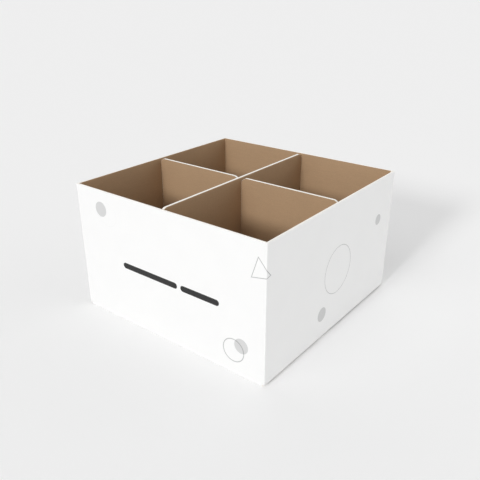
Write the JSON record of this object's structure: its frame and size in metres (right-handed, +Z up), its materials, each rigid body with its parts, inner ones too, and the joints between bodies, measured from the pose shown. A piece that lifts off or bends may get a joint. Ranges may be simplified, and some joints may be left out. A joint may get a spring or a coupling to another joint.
{
  "type": "bottle shipping box",
  "caption": "Open-top square carton folded from one sheet of white-faced board, with a glued bottom and crossed half-lapped dividers that part its bottle cells.",
  "frame": {"origin": "on the floor under the middle of the carton", "axes": "+Z up; the front wall faces -Y and the right wall faces +X"},
  "size_m": [0.192, 0.192, 0.113],
  "materials": {
    "coated_board": "matt white coating outside, plain brown kraft inside, cream cut edges",
    "kraft_board": "uncoated brown kraft on both faces, cream cut edges"
  },
  "bodies": {
    "root": {"carton": "coated_board", "divider_front_to_back": "kraft_board", "divider_side_to_side": "kraft_board"}
  },
  "joints": []
}
